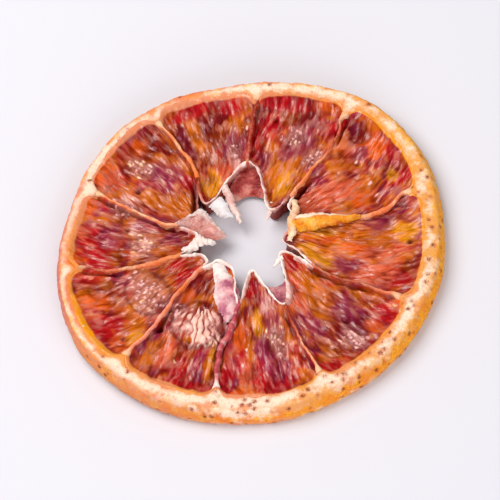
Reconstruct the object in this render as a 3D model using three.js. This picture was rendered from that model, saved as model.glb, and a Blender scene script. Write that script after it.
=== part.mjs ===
// A dried blood orange slice: one crosswise cut through the fruit, dried until the pulp has
// sunk between its membranes and the core has shrunk away into a star-shaped hole.
//
// The slice lies flat. Millimetres, +Z up, with the origin under the middle of its box.
// Everything is laid out round the fruit's core: a column of the skin is a vertical section
// at one place round the core, which runs from the hole over the pulp and the rind, down the
// outer wall and back underneath. The columns stand side by side all the way round.

import * as THREE from "three";

// ---- Driving dimensions, in millimetres and degrees ---------------------------------------

const FACE_RADIUS = 30.3; // mean radius of the cut face
const THICKNESS = 4; // height of the rind
const CORE = { x: 0, y: 1.8 }; // where the fruit's core lies from the middle of the face

// Swells round the rind: how often they come round, how high they are as a share of the
// radius, the rind's width or its height, and the direction of one crest.
const OUTLINE_SWELLS = [
  { count: 2, share: 0.0105, crest: 22 },
  { count: 3, share: 0.008, crest: 5 },
  { count: 4, share: 0.0165, crest: 29 },
  { count: 5, share: 0.0065, crest: -29 },
  { count: 11, share: 0.0025, crest: 8 },
  { count: 17, share: 0.0015, crest: 15 },
];
const WIDTH_SWELLS = [
  { count: 1, share: 0.26, crest: -53 },
  { count: 2, share: 0.06, crest: 60 },
  { count: 3, share: 0.04, crest: 4 },
  { count: 4, share: 0.06, crest: -26 },
];
const HEIGHT_SWELLS = [
  { count: 1, share: 0.04, crest: 120 },
  { count: 3, share: 0.03, crest: 70 },
  { count: 7, share: 0.025, crest: 20 },
  { count: 12, share: 0.015, crest: 5 },
];

// The ten membranes between the segments. A membrane's path is its direction from the core
// at each of the four PATH_RADII, and it ends where an arm of the hole comes to meet it. A
// slim of 1 makes that arm wide, and more makes it slimmer. Then comes the segment that
// follows the membrane: how far its tip stands from the core, where the tip is from 0 at this
// membrane to 1 at the next, and how deep the pulp has sunk.
const PATH_RADII = [7, 13, 20, 27];
const MEMBRANES = [
  { path: [2, -3.2, -3.8, 2.5], arm: 9.2, slim: 1.8, tip: 8.2, tipAt: 0.6, sink: 1.2 },
  { path: [30.5, 35, 37, 42], arm: 9.9, slim: 2, tip: 6.4, tipAt: 0.28, sink: 1.1 },
  { path: [79, 78, 75.8, 75], arm: 13.4, slim: 1, tip: 9.1, tipAt: 0.68, sink: 1.3 },
  { path: [147, 115.4, 110.6, 111.2], arm: 14.2, slim: 2.2, tip: 8.8, tipAt: 0.15, sink: 1.2 },
  { path: [153, 154.8, 149.4, 146], arm: 11.7, slim: 1.4, tip: 8.1, tipAt: 0.42, sink: 1.3 },
  { path: [184, 184.6, 183.1, 178], arm: 11, slim: 1.6, tip: 7.8, tipAt: 0.62, sink: 1.1 },
  { path: [205, 209, 215, 215.7], arm: 9, slim: 2.4, tip: 6.1, tipAt: 0.34, sink: 1 },
  { path: [253, 252, 246.4, 248.3], arm: 12.2, slim: 2.6, tip: 6.3, tipAt: 0.4, sink: 1.2 },
  { path: [289, 284.5, 282, 282.5], arm: 14, slim: 0.95, tip: 6.6, tipAt: 0.58, sink: 1.3 },
  { path: [327, 317, 319, 320.5], arm: 12.2, slim: 2.4, tip: 6.1, tipAt: 0.36, sink: 1.1 },
];

// The rind, seen from above: its width, and how far its pith reaches in along a membrane.
const RIND_WIDTH = 2.25;
const FLARE_REACH = 1.5;
const FLARE_WIDTH = 1.2;

// The rind, in section: its outer wall leans out downwards and bulges a little.
const WALL_LEAN = 0.35;
const WALL_BULGE = 0.3;
const CORNER = 0.6; // how far the rind's upper and lower corners are rounded back

// The pulp lies below the cut face on both sides, and rises again at each edge.
const SINK_BELOW = 0.75; // how deep it has sunk underneath, as a share of its sink above
const RIDGE = { width: 0.55, rise: 0.85 }; // where it meets a membrane
const LIP = { width: 0.7, rise: 0.6 }; // along the edge of the hole
const BANK = { width: 1.6, rise: 0.75 }; // along the rind

// Drying has bent the slice a little, so that its rind waves up and down by these heights.
// What would sag below z = 0 has dried flat, which gives the slice its feet.
const WAVES = [
  { count: 1, height: 0.3, crest: 125 },
  { count: 2, height: 0.45, crest: 35 },
  { count: 3, height: 0.35, crest: 65 },
];
const FLATTENED = 0.3; // how much of the lowest wave has dried flat

// ---- Where the skin has its vertices ------------------------------------------------------

const COLUMNS_IN_SEGMENT = [0, 0.03, 0.08, 0.16, 0.27, 0.4, 0.53, 0.66, 0.78, 0.87, 0.93, 0.975];
const PULP_STATIONS = [0, 0.03, 0.09, 0.19, 0.33, 0.48, 0.63, 0.77, 0.88, 0.96, 1];
const CORNER_STEPS = 2;
const WALL_STEPS = 4;

const PULP_COLOUR = 0xa8502f;

// ---- Small helpers ------------------------------------------------------------------------

const { lerp, degToRad } = THREE.MathUtils;
const hump = (distance, width) => Math.exp(-((distance / width) ** 2));

// A factor near 1 that swells and ebbs with the direction.
const swelling = (swells, direction) =>
  swells.reduce(
    (sum, { count, share, crest }) =>
      sum + share * Math.cos(count * (direction - degToRad(crest))),
    1,
  );

// ---- The slice from above -----------------------------------------------------------------

// Distance from the core to the edge of the cut face in one direction.
function faceRadius(direction) {
  const toMiddle = -CORE.x * Math.cos(direction) - CORE.y * Math.sin(direction);
  const aside = CORE.x * Math.sin(direction) - CORE.y * Math.cos(direction);
  const radius = FACE_RADIUS * swelling(OUTLINE_SWELLS, direction);
  return toMiddle + Math.sqrt(radius ** 2 - aside ** 2);
}

// Direction of a membrane at one distance from the core: a smooth curve through its path,
// which goes on straight beyond both ends.
function membraneDirection({ path }, r) {
  const gaps = PATH_RADII.slice(1).map((radius, i) => radius - PATH_RADII[i]);
  const slopes = gaps.map((gap, i) => (path[i + 1] - path[i]) / gap);
  const last = path.length - 1;
  const tangent = (i) =>
    (slopes[Math.max(i - 1, 0)] + slopes[Math.min(i, last - 1)]) / 2;
  const before = Math.max(0, PATH_RADII.findLastIndex((radius) => radius <= r));
  const i = Math.min(before, last - 1);
  const t = (r - PATH_RADII[i]) / gaps[i];
  if (t < 0) return degToRad(path[0] + tangent(0) * (r - PATH_RADII[0]));
  if (t > 1) return degToRad(path[last] + tangent(last) * (r - PATH_RADII[last]));
  const rise = t * t * (3 - 2 * t);
  const leaving = tangent(i) * gaps[i] * t * (1 - t) ** 2;
  const arriving = tangent(i + 1) * gaps[i] * t * t * (t - 1);
  return degToRad(lerp(path[i], path[i + 1], rise) + leaving + arriving);
}

// Direction at a distance from the core in segment number k, where t runs from 0 at its
// first membrane to 1 at the next.
function directionIn(k, t, r) {
  const first = membraneDirection(MEMBRANES[k], r);
  return first + t * spreadOf(k, r);
}

// The angle between a segment's two membranes at one distance from the core.
function spreadOf(k, r) {
  const last = k + 1 === MEMBRANES.length;
  const next = membraneDirection(MEMBRANES[last ? 0 : k + 1], r) + (last ? 2 * Math.PI : 0);
  return next - membraneDirection(MEMBRANES[k], r);
}

// Distance from the core to the edge of the hole.
function holeRadius(k, t) {
  const { tip, tipAt } = MEMBRANES[k];
  const { arm, slim } = MEMBRANES[(t < tipAt ? k : k + 1) % MEMBRANES.length];
  const fromTip = t < tipAt ? 1 - t / tipAt : (t - tipAt) / (1 - tipAt);
  return lerp(tip, arm, (1 - Math.cos(Math.PI * fromTip ** slim)) / 2);
}

// What the section needs to know about one place round the core.
function placeRound(k, t) {
  const direction = directionIn(k, t, PATH_RADII.at(-1));
  const outer = faceRadius(direction);
  const fromMembrane = Math.min(t, 1 - t) * spreadOf(k, outer) * outer;
  return {
    k,
    t,
    thickness: THICKNESS * swelling(HEIGHT_SWELLS, direction),
    hole: holeRadius(k, t),
    pith:
      outer -
      RIND_WIDTH * swelling(WIDTH_SWELLS, direction) -
      FLARE_REACH * hump(fromMembrane, FLARE_WIDTH),
    outer,
  };
}

// ---- The slice in section -----------------------------------------------------------------

// How far the pulp lies below the level of the upper cut face.
function sinkAt({ k, t, hole, pith }, r) {
  const fromMembrane = Math.min(t, 1 - t) * spreadOf(k, r) * r;
  const ridge = RIDGE.rise * hump(fromMembrane, RIDGE.width);
  const lip = LIP.rise * hump(r - hole, LIP.width);
  const bank = BANK.rise * hump(pith - r, BANK.width);
  return MEMBRANES[k].sink * (1 - Math.max(ridge, lip, bank));
}

// How far the outer wall stands out from the edge of the cut face, at a height of 0 to 1.
const wallOut = (height) =>
  WALL_LEAN * (1 - height) + WALL_BULGE * Math.sin(Math.PI * height);

// The section at one place, as points [distance from the core, height], from the hole out
// over the top and back underneath.
function section(place) {
  const radii = PULP_STATIONS.map((share) => lerp(place.hole, place.pith, share));
  const above = radii.map((r) => [r, place.thickness - sinkAt(place, r)]);
  const below = radii.map((r) => [r, SINK_BELOW * sinkAt(place, r)]);

  const points = [...above, [place.pith + CORNER, place.thickness]];
  for (let step = 0; step <= CORNER_STEPS; step++) {
    const angle = ((step / CORNER_STEPS) * Math.PI) / 2;
    const back = CORNER * (1 - Math.sin(angle));
    const drop = CORNER * (1 - Math.cos(angle));
    points.push([place.outer + wallOut(1) - back, place.thickness - drop]);
  }
  for (let step = 1; step < WALL_STEPS; step++) {
    const height = 1 - step / WALL_STEPS;
    const level = lerp(CORNER, place.thickness - CORNER, height);
    points.push([place.outer + wallOut(height), level]);
  }
  for (let step = CORNER_STEPS; step >= 0; step--) {
    const angle = ((step / CORNER_STEPS) * Math.PI) / 2;
    const back = CORNER * (1 - Math.sin(angle));
    const rise = CORNER * (1 - Math.cos(angle));
    points.push([place.outer + wallOut(0) - back, rise]);
  }
  points.push([place.pith + CORNER, 0]);
  return [...points, ...below.reverse()];
}

// How far drying has lifted the rind in one direction.
const waveAt = (direction) =>
  WAVES.reduce(
    (sum, { count, height, crest }) =>
      sum + height * Math.cos(count * (direction - degToRad(crest))),
    0,
  );

const lowestWave = Math.min(
  ...Array.from({ length: 360 }, (_, degree) => waveAt(degToRad(degree))),
);

// How far drying has lifted the slice at a point: the waves fade towards the middle.
function lift(x, y) {
  const share = Math.min(1, Math.hypot(x, y) / FACE_RADIUS) ** 2;
  return share * waveAt(Math.atan2(y, x)) - lowestWave - FLATTENED;
}

// ---- The solid ----------------------------------------------------------------------------

// One column of the skin as THREE.Vector3 points.
function column(k, t) {
  const place = placeRound(k, t);
  return section(place).map(([r, height]) => {
    const direction = directionIn(k, t, r);
    const x = CORE.x + r * Math.cos(direction);
    const y = CORE.y + r * Math.sin(direction);
    return new THREE.Vector3(x, y, Math.max(0, height + lift(x, y)));
  });
}

function sliceGeometry() {
  const columns = MEMBRANES.flatMap((_, k) => COLUMNS_IN_SEGMENT.map((t) => column(k, t)));
  const rows = columns[0].length;
  const index = [];
  columns.forEach((_, i) => {
    const next = (i + 1) % columns.length;
    for (let j = 0; j < rows; j++) {
      const after = (j + 1) % rows;
      const [a, b] = [i * rows + j, next * rows + j];
      const [c, d] = [next * rows + after, i * rows + after];
      index.push(a, d, c, a, c, b);
    }
  });
  const geometry = new THREE.BufferGeometry().setFromPoints(columns.flat());
  geometry.setIndex(index);
  geometry.computeBoundingBox();
  const middle = geometry.boundingBox.getCenter(new THREE.Vector3());
  geometry.translate(-middle.x, -middle.y, -geometry.boundingBox.min.z);
  geometry.computeVertexNormals();
  return geometry;
}

const slice = new THREE.Mesh(
  sliceGeometry(),
  new THREE.MeshStandardMaterial({ color: PULP_COLOUR, roughness: 0.55, metalness: 0 }),
);
slice.name = "orange_slice";

const part = new THREE.Group();
part.add(slice);

export default part;
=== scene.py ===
"""A dried blood orange slice: rind, sunken pulp, membranes and the torn pith round its core hole.

Lengths are in millimetres, and the tables have directions in degrees. Everything is laid out
round the fruit's core, and only mesh_piece() turns it into metres in the object's frame.
"""

import itertools
import math

import bpy
import numpy as np
from mathutils import Matrix, Vector

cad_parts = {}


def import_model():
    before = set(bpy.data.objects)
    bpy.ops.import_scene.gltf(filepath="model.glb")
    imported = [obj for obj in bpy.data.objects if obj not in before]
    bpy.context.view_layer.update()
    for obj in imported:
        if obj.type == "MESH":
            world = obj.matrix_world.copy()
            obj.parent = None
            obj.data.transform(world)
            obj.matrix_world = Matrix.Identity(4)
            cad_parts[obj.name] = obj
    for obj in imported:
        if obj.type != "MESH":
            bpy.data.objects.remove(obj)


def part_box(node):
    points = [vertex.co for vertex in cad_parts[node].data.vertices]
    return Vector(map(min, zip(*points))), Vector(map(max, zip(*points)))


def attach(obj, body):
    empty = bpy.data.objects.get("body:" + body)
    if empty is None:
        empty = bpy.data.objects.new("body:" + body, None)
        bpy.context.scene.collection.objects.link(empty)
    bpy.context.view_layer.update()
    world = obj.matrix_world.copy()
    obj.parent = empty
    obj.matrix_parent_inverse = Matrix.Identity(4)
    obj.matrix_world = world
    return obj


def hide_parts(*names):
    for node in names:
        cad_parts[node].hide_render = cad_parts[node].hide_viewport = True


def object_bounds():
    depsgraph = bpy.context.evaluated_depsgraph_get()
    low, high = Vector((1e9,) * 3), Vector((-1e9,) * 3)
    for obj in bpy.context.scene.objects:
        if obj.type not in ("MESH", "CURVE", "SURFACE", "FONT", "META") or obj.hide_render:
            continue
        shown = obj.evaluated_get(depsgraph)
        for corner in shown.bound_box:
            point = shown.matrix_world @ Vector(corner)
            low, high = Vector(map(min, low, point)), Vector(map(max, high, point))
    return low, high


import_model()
cad_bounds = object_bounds()

MM = 0.001
NODE = "orange_slice"

# ---- Driving dimensions, the same as the solid's ----

FACE_RADIUS = 30.3
THICKNESS = 4
CORE = (0, 1.8)

# Swells round the rind: count, share and the direction of one crest.
OUTLINE_SWELLS = [
    (2, 0.0105, 22), (3, 0.008, 5), (4, 0.0165, 29), (5, 0.0065, -29), (11, 0.0025, 8),
    (17, 0.0015, 15),
]
WIDTH_SWELLS = [(1, 0.26, -53), (2, 0.06, 60), (3, 0.04, 4), (4, 0.06, -26)]
HEIGHT_SWELLS = [(1, 0.04, 120), (3, 0.03, 70), (7, 0.025, 20), (12, 0.015, 5)]

# A membrane's direction from the core at each of the PATH_RADII, how far the arm of the hole
# that meets it reaches and how slim it is, and for the segment that follows it the distance of
# the tip, its share of the way across and how far the pulp has sunk.
PATH_RADII = np.array([7, 13, 20, 27])
MEMBRANES = [
    dict(zip(("path", "arm", "slim", "tip", "tip_at", "sink"), facts))
    for facts in (
        ((2, -3.2, -3.8, 2.5), 9.2, 1.8, 8.2, 0.6, 1.2),
        ((30.5, 35, 37, 42), 9.9, 2, 6.4, 0.28, 1.1),
        ((79, 78, 75.8, 75), 13.4, 1, 9.1, 0.68, 1.3),
        ((147, 115.4, 110.6, 111.2), 14.2, 2.2, 8.8, 0.15, 1.2),
        ((153, 154.8, 149.4, 146), 11.7, 1.4, 8.1, 0.42, 1.3),
        ((184, 184.6, 183.1, 178), 11, 1.6, 7.8, 0.62, 1.1),
        ((205, 209, 215, 215.7), 9, 2.4, 6.1, 0.34, 1),
        ((253, 252, 246.4, 248.3), 12.2, 2.6, 6.3, 0.4, 1.2),
        ((289, 284.5, 282, 282.5), 14, 0.95, 6.6, 0.58, 1.3),
        ((327, 317, 319, 320.5), 12.2, 2.4, 6.1, 0.36, 1.1),
    )
]
COUNT = len(MEMBRANES)

RIND_WIDTH = 2.25
# The pith flares inwards where a membrane meets it.
FLARE_REACH = 1.5
FLARE_WIDTH = 1.2
WALL_LEAN = 0.35
WALL_BULGE = 0.3
CORNER = 0.6

# The pulp sinks less beside a membrane, by the hole and by the pith: over what width, and what
# share less.
RIDGE = (0.65, 0.62)
SHOULDER = (1.7, 0.3)
LIP = (0.7, 0.6)
BANK = (1.6, 0.75)
# How far the lower side has sunk, as a share of the upper side's.
SINK_BELOW = 0.75
# Waves of the whole slice round its edge: count, height and the direction of one crest.
WAVES = [(1, 0.3, 125), (2, 0.45, 35), (3, 0.35, 65)]
# How far the lowest of them are pressed flat against the floor.
FLATTENED = 0.3

# ---- Numbers: noise and cells, all seeded ----


def chance(seed, *cells):
    """A random number from 0 to 1 for each whole-numbered cell."""
    mixed = np.full(np.shape(cells[0]), 7919 * seed + 13, dtype=np.uint64)
    for cell in cells:
        mixed = (mixed ^ cell.astype(np.int64).astype(np.uint64)) * np.uint64(0x9E3779B97F4A7C15)
        mixed = mixed ^ (mixed >> np.uint64(29))
    return (mixed >> np.uint64(40)).astype(float) / 2**24


def noise(seed, *places):
    """Smooth noise from -1 to 1 whose features are about one unit across."""
    places = np.broadcast_arrays(*[np.asarray(place, float) for place in places])
    floors = [np.floor(place) for place in places]
    fades = [step(0, 1, place - floor) for place, floor in zip(places, floors)]
    total = 0
    for corner in itertools.product((0, 1), repeat=len(places)):
        weight = 1
        for bit, fade in zip(corner, fades):
            weight = weight * (fade if bit else 1 - fade)
        total = total + weight * chance(seed, *[f + bit for f, bit in zip(floors, corner)])
    return 2 * total - 1


def rough(seed, octaves, *places):
    """Noise with finer noise on it: each octave is half as large and half as high."""
    layers = [noise(seed + i, *[p * 2**i for p in places]) / 2**i for i in range(octaves)]
    return sum(layers) / 1.5


def cells(seed, x, y):
    """How far the nearest and the next of the scattered seeds are, one in each unit square,
    and the nearest seed's own random number."""
    column, row = np.floor(x), np.floor(y)
    first = np.full(x.shape, 9.0)
    second = np.full(x.shape, 9.0)
    owner = np.zeros(x.shape)
    for across, along in itertools.product((-1, 0, 1), repeat=2):
        i, j = column + across, row + along
        distance = np.hypot(i + chance(seed, i, j) - x, j + chance(seed + 1, i, j) - y)
        closer = distance < first
        second = np.where(closer, first, np.minimum(second, distance))
        owner = np.where(closer, chance(seed + 2, i, j), owner)
        first = np.where(closer, distance, first)
    return first, second, owner


def hump(distance, width):
    """1 in the middle, fading to both sides."""
    return np.exp(-((distance / width) ** 2))


def step(low, high, value):
    """0 below low, 1 above high and smooth between them."""
    share = np.clip((value - low) / (high - low), 0, 1)
    return share * share * (3 - 2 * share)


def lerp(start, end, share):
    return start + (end - start) * share


def arc(direction, middle, spread):
    """1 at a direction, fading to both sides; the last two are in degrees."""
    return hump((np.degrees(direction) - middle + 180) % 360 - 180, spread)


def arcs(direction, rows):
    """The highest of several arcs, each with how much, direction and spread."""
    return np.maximum.reduce([share * arc(direction, *where) for share, *where in rows])


# ---- The slice from above, as in the solid ----


def swelling(swells, direction):
    return 1 + sum(s * np.cos(n * (direction - math.radians(crest))) for n, s, crest in swells)


def face_radius(direction):
    """Distance from the core to the edge of the cut face."""
    to_middle = -CORE[0] * np.cos(direction) - CORE[1] * np.sin(direction)
    aside = CORE[0] * np.sin(direction) - CORE[1] * np.cos(direction)
    radius = FACE_RADIUS * swelling(OUTLINE_SWELLS, direction)
    return to_middle + np.sqrt(radius**2 - aside**2)


def membrane_direction(k, r):
    """Direction of membrane k at the distances r; number 10 is membrane 0, a turn further."""
    path = np.array(MEMBRANES[k % COUNT]["path"], float)
    gaps = np.diff(PATH_RADII)
    slopes = np.diff(path) / gaps
    tangents = np.concatenate([slopes[:1], (slopes[:-1] + slopes[1:]) / 2, slopes[-1:]])
    r = np.asarray(r, float)
    i = np.clip(np.searchsorted(PATH_RADII, r, side="right") - 1, 0, len(gaps) - 1)
    t = np.clip((r - PATH_RADII[i]) / gaps[i], 0, 1)
    curve = lerp(path[i], path[i + 1], step(0, 1, t))
    curve = curve + tangents[i] * gaps[i] * t * (1 - t) ** 2
    curve = curve + tangents[i + 1] * gaps[i] * t * t * (t - 1)
    curve = curve + np.minimum(r - PATH_RADII[0], 0) * tangents[0]
    curve = curve + np.maximum(r - PATH_RADII[-1], 0) * tangents[-1]
    return np.radians(curve + 360 * (k // COUNT))


def spread_of(k, r):
    return membrane_direction(k + 1, r) - membrane_direction(k, r)


def direction_in(k, t, r):
    """Direction in segment k, where t is 0 at its first membrane and 1 at the next."""
    return membrane_direction(k, r) + t * spread_of(k, r)


def to_membrane(k, t, r):
    """How far points of segment k are from the nearer of its membranes."""
    return np.minimum(t, 1 - t) * spread_of(k, r) * r


def hole_radius(k, t):
    """Distance from the core to the edge of the hole."""
    segment = MEMBRANES[k]
    following = MEMBRANES[(k + 1) % COUNT]
    before = t < segment["tip_at"]
    arm = np.where(before, segment["arm"], following["arm"])
    slim = np.where(before, segment["slim"], following["slim"])
    back = 1 - t / segment["tip_at"]
    ahead = (t - segment["tip_at"]) / (1 - segment["tip_at"])
    from_tip = np.clip(np.where(before, back, ahead), 0, 1)
    return lerp(segment["tip"], arm, (1 - np.cos(np.pi * from_tip**slim)) / 2)


def round_core(k, t):
    """Direction, outer edge, pith's inner edge and rind height at places t of segment k."""
    direction = direction_in(k, t, PATH_RADII[-1])
    outer = face_radius(direction)
    width = RIND_WIDTH * swelling(WIDTH_SWELLS, direction)
    pith = outer - width - FLARE_REACH * hump(to_membrane(k, t, outer), FLARE_WIDTH)
    return direction, outer, pith, THICKNESS * swelling(HEIGHT_SWELLS, direction)


def sink_at(k, t, r, hole, pith):
    """How far the pulp lies below the level of the upper cut face."""
    beside = to_membrane(k, t, r)
    nears = ((beside, RIDGE), (beside, SHOULDER), (r - hole, LIP), (pith - r, BANK))
    highest = np.maximum.reduce([less * hump(away, width) for away, (width, less) in nears])
    return MEMBRANES[k]["sink"] * (1 - highest)


def wall_out(height):
    return WALL_LEAN * (1 - height) + WALL_BULGE * np.sin(np.pi * height)


def wave_at(direction):
    return sum(h * np.cos(n * (direction - math.radians(crest))) for n, h, crest in WAVES)


LOWEST_WAVE = wave_at(np.radians(np.arange(360))).min()


def lift(x, y):
    """How far drying has lifted the slice at a point."""
    share = np.minimum(1, np.hypot(x, y) / FACE_RADIUS) ** 2
    return share * wave_at(np.arctan2(y, x)) - LOWEST_WAVE - FLATTENED


def from_core(direction, r):
    return CORE[0] + r * np.cos(direction), CORE[1] + r * np.sin(direction)


def frame_shift():
    """What moves the middle of the outline's box to the middle of the CAD box."""
    direction = np.linspace(0, 2 * np.pi, 1440)
    outline = np.array(from_core(direction, face_radius(direction) + WALL_LEAN))
    low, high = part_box(NODE)
    middle = (np.array(low[:2]) + np.array(high[:2])) / 2 / MM
    return middle - (outline.min(axis=1) + outline.max(axis=1)) / 2


SHIFT = np.array([*frame_shift(), 0])

# ---- Meshes ----


def place_in_scene(name, data):
    holder = bpy.data.objects.new(name, data)
    bpy.context.scene.collection.objects.link(holder)
    return holder


def mesh_piece(name, points, quads, material, weights):
    """One piece of the slice from points in millimetres. A weight has a number for each point,
    or for each point of the first of two faces, and the weight called grain has vectors."""
    mesh = bpy.data.meshes.new(name)
    mesh.from_pydata(((points + SHIFT) * MM).tolist(), [], quads.tolist())
    for key, values in weights.items():
        kind, slot, size = ("FLOAT_VECTOR", "vector", 3) if key == "grain" else ("FLOAT", "value", 1)
        layer = mesh.attributes.new(key, kind, "POINT")
        layer.data.foreach_set(slot, np.resize(values, size * len(points)))
    mesh.shade_smooth()
    mesh.materials.append(material)
    piece = place_in_scene(name, mesh)
    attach(piece, "root")
    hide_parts(NODE)


def grid_quads(number):
    """Quads of a grid of numbered points, facing up if rows run along X and columns along Y."""
    corners = [number[:-1, :-1], number[1:, :-1], number[1:, 1:], number[:-1, 1:]]
    return np.stack([corner.ravel() for corner in corners], axis=1)


def shell(top, bottom):
    """Points and quads of the closed body between two grids of points."""
    rows, columns = top.shape[:2]
    size = rows * columns
    number = np.arange(size).reshape(rows, columns)
    edge = np.concatenate([number[0, :-1], number[:-1, -1], number[-1, :0:-1], number[:0:-1, 0]])
    following = np.roll(edge, -1)
    side = np.stack([edge, following, following + size, edge + size], axis=1)
    upper = grid_quads(number)
    lower = grid_quads(number + size)[:, ::-1]
    points = np.concatenate([top.reshape(-1, 3), bottom.reshape(-1, 3)])
    return points, np.concatenate([upper, lower, side])


def ring_quads(columns, rows):
    """Quads of columns of points that close on themselves both ways."""
    number = np.arange(columns * rows).reshape(columns, rows)
    return grid_quads(np.pad(number, ((0, 1), (0, 1)), mode="wrap"))[:, [0, 3, 2, 1]]


def unit(vectors):
    return vectors / np.maximum(np.linalg.norm(vectors, axis=-1, keepdims=True), 1e-9)


def left_of(path):
    """What points to the left of a path from above, at each of its points."""
    ahead = np.gradient(path, axis=0)
    return unit(np.stack([-ahead[:, 1], ahead[:, 0]], axis=-1))


def smooth_curve(points, count):
    """A Catmull-Rom curve through a few points, at evenly spaced steps of its parameter."""
    points = np.array(points, float)
    padded = np.concatenate([[2 * points[0] - points[1]], points, [2 * points[-1] - points[-2]]])
    place = np.linspace(0, len(points) - 1, count)
    i = np.minimum(place.astype(int), len(points) - 2)
    t = (place - i)[:, None]
    a, b, c, d = padded[i], padded[i + 1], padded[i + 2], padded[i + 3]
    bend = (2 * a - 5 * b + 4 * c - d) * t + (3 * b - a - 3 * c + d) * t * t
    return b + 0.5 * ((c - a) + bend) * t


def arc_length(curve):
    return np.concatenate([[0], np.cumsum(np.linalg.norm(np.diff(curve, axis=0), axis=1))])


# ---- Materials ----

# Colours from 0 to 255, as they look.
PITH_WHITE = (248, 222, 196)
CREAM = (240, 190, 148)
PEACH = (230, 160, 110)
BLUSH = (228, 148, 118)
# PINKISH is partly painted shade on the rind's wall round the left.
PINKISH = (208, 116, 112)
YOLK = (230, 160, 78)
RIM_ORANGE = (232, 104, 24)
RIM_YELLOW = (238, 150, 14)
RIM_PEACH = (224, 140, 100)
ZEST = (244, 134, 0)
ZEST_YELLOW = (255, 186, 36)
ZEST_RED = (206, 96, 44)
SPECK = (104, 48, 18)
# DEEP_RED is mostly painted shade in the pulp: low places, seams, crevices, pits and gaps.
DEEP_RED = (92, 5, 3)
MAROON = (114, 16, 12)
MAUVE = (128, 24, 34)
BROWN = (152, 38, 12)
SALMON = (178, 50, 26)
ROSE = (196, 72, 52)
AMBER = (208, 104, 8)
ORANGE = (228, 92, 18)
CRIMSON = (190, 16, 26)
PALE = (228, 164, 152)
PLUM = (142, 38, 78)
# SHEEN is a painted highlight on the tops of the pulp's sacs.
SHEEN = (255, 164, 126)
GOLD = (230, 144, 10)
GREYISH = (174, 108, 96)
FLUSH = (216, 92, 58)
# Painted highlights: glints on the pulp, the beads' tops and the fan's crests.
GLINT_PINK = (250, 190, 186)
GLINT_CREAM = (250, 206, 160)
GLINT_WHITE = (250, 204, 186)
RIB_AMBER = (236, 122, 42)
RIB_ROSE = (216, 92, 84)
FLESH_LIGHT = (250, 190, 150)
SKIN_LIGHT = (232, 178, 166)
SKIN_WHITE = (252, 232, 224)

# How light spreads under the surface: per colour, and how far in metres.
GLOW_COLOURS = (1, 0.5, 0.35)
GLOW_REACH = 0.7 * MM


def linear(colour):
    """A colour as a socket takes it."""
    shares = np.array(colour) / 255
    return (*np.where(shares <= 0.04045, shares / 12.92, ((shares + 0.055) / 1.055) ** 2.4), 1)


class Output:
    """What a node gives. Each call adds a node that takes it."""

    def __init__(self, looks, socket):
        self.looks = looks
        self.socket = socket

    def __add__(self, other):
        return self.looks.node("Math", {0: self, 1: other}, operation="ADD")

    def __mul__(self, other):
        return self.looks.node("Math", {0: self, 1: other}, operation="MULTIPLY")

    def to(self, low, high, start=0, end=1):
        """Maps low..high to start..end, held at both ends."""
        return self.looks.node("MapRange", {0: self, 1: low, 2: high, 3: start, 4: end})

    def under(self, *layers):
        """This colour with others laid over it in turn, each a colour and its share."""
        made = self
        for colour, share in layers:
            made = self.looks.mix(share, made, colour)
        return made

    def stretched(self, across, along):
        return self.looks.node("VectorMath", {0: self, 1: (across, along, 1)}, operation="MULTIPLY")


class Looks:
    """A material's node tree, with short calls for the nodes that it takes."""

    def __init__(self, name):
        self.material = bpy.data.materials.new(name)
        self.material.use_nodes = True
        self.tree = self.material.node_tree
        self.shader = self.tree.nodes["Principled BSDF"]

    def node(self, kind, inputs, output=0, **settings):
        made = self.tree.nodes.new("ShaderNode" + kind)
        for key, value in settings.items():
            setattr(made, key, value)
        for key, value in inputs.items():
            self.put(made.inputs[key], value)
        return Output(self, made.outputs[output])

    def put(self, socket, value):
        if isinstance(value, Output):
            self.tree.links.new(value.socket, socket)
        else:
            socket.default_value = linear(value) if socket.type == "RGBA" else value

    def weight(self, name):
        return self.node("Attribute", {}, "Fac", attribute_name=name)

    def where(self):
        """The point itself in millimetres."""
        point = self.node("TexCoord", {}, "Object")
        return self.node("VectorMath", {0: point, "Scale": 1 / MM}, operation="SCALE")

    def noise(self, vector, scale, detail=3, roughness=0.55):
        inputs = {"Vector": vector, "Scale": scale, "Detail": detail, "Roughness": roughness}
        return self.node("TexNoise", inputs, "Fac")

    def cells(self, vector, scale, output="Distance"):
        return self.node("TexVoronoi", {"Vector": vector, "Scale": scale}, output)

    def ramp(self, value, stops):
        made = self.node("ValToRGB", {"Fac": value}, "Color")
        elements = made.socket.node.color_ramp.elements
        while len(elements) < len(stops):
            elements.new(0.5)
        for element, (place, colour) in zip(elements, stops):
            element.position = place
            element.color = linear(colour)
        return made

    def mix(self, share, a, b):
        return self.node("Mix", {0: share, 6: a, 7: b}, 2, data_type="RGBA")

    def finish(self, colour, roughness, gloss, glow, *bumps):
        """Sets the shader. Each bump is a height, how strong it is and how many millimetres."""
        normal = {}
        for height, strength, distance in bumps:
            inputs = {"Height": height, "Strength": strength, "Distance": distance * MM, **normal}
            normal = {"Normal": self.node("Bump", inputs)}
        sockets = {
            "Base Color": colour,
            "Roughness": roughness,
            "Specular IOR Level": gloss,
            "Subsurface Weight": glow,
            "Subsurface Radius": GLOW_COLOURS,
            "Subsurface Scale": GLOW_REACH,
        }
        for key, value in {**sockets, **normal}.items():
            self.put(self.shader.inputs[key], value)
        return self.material


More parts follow.
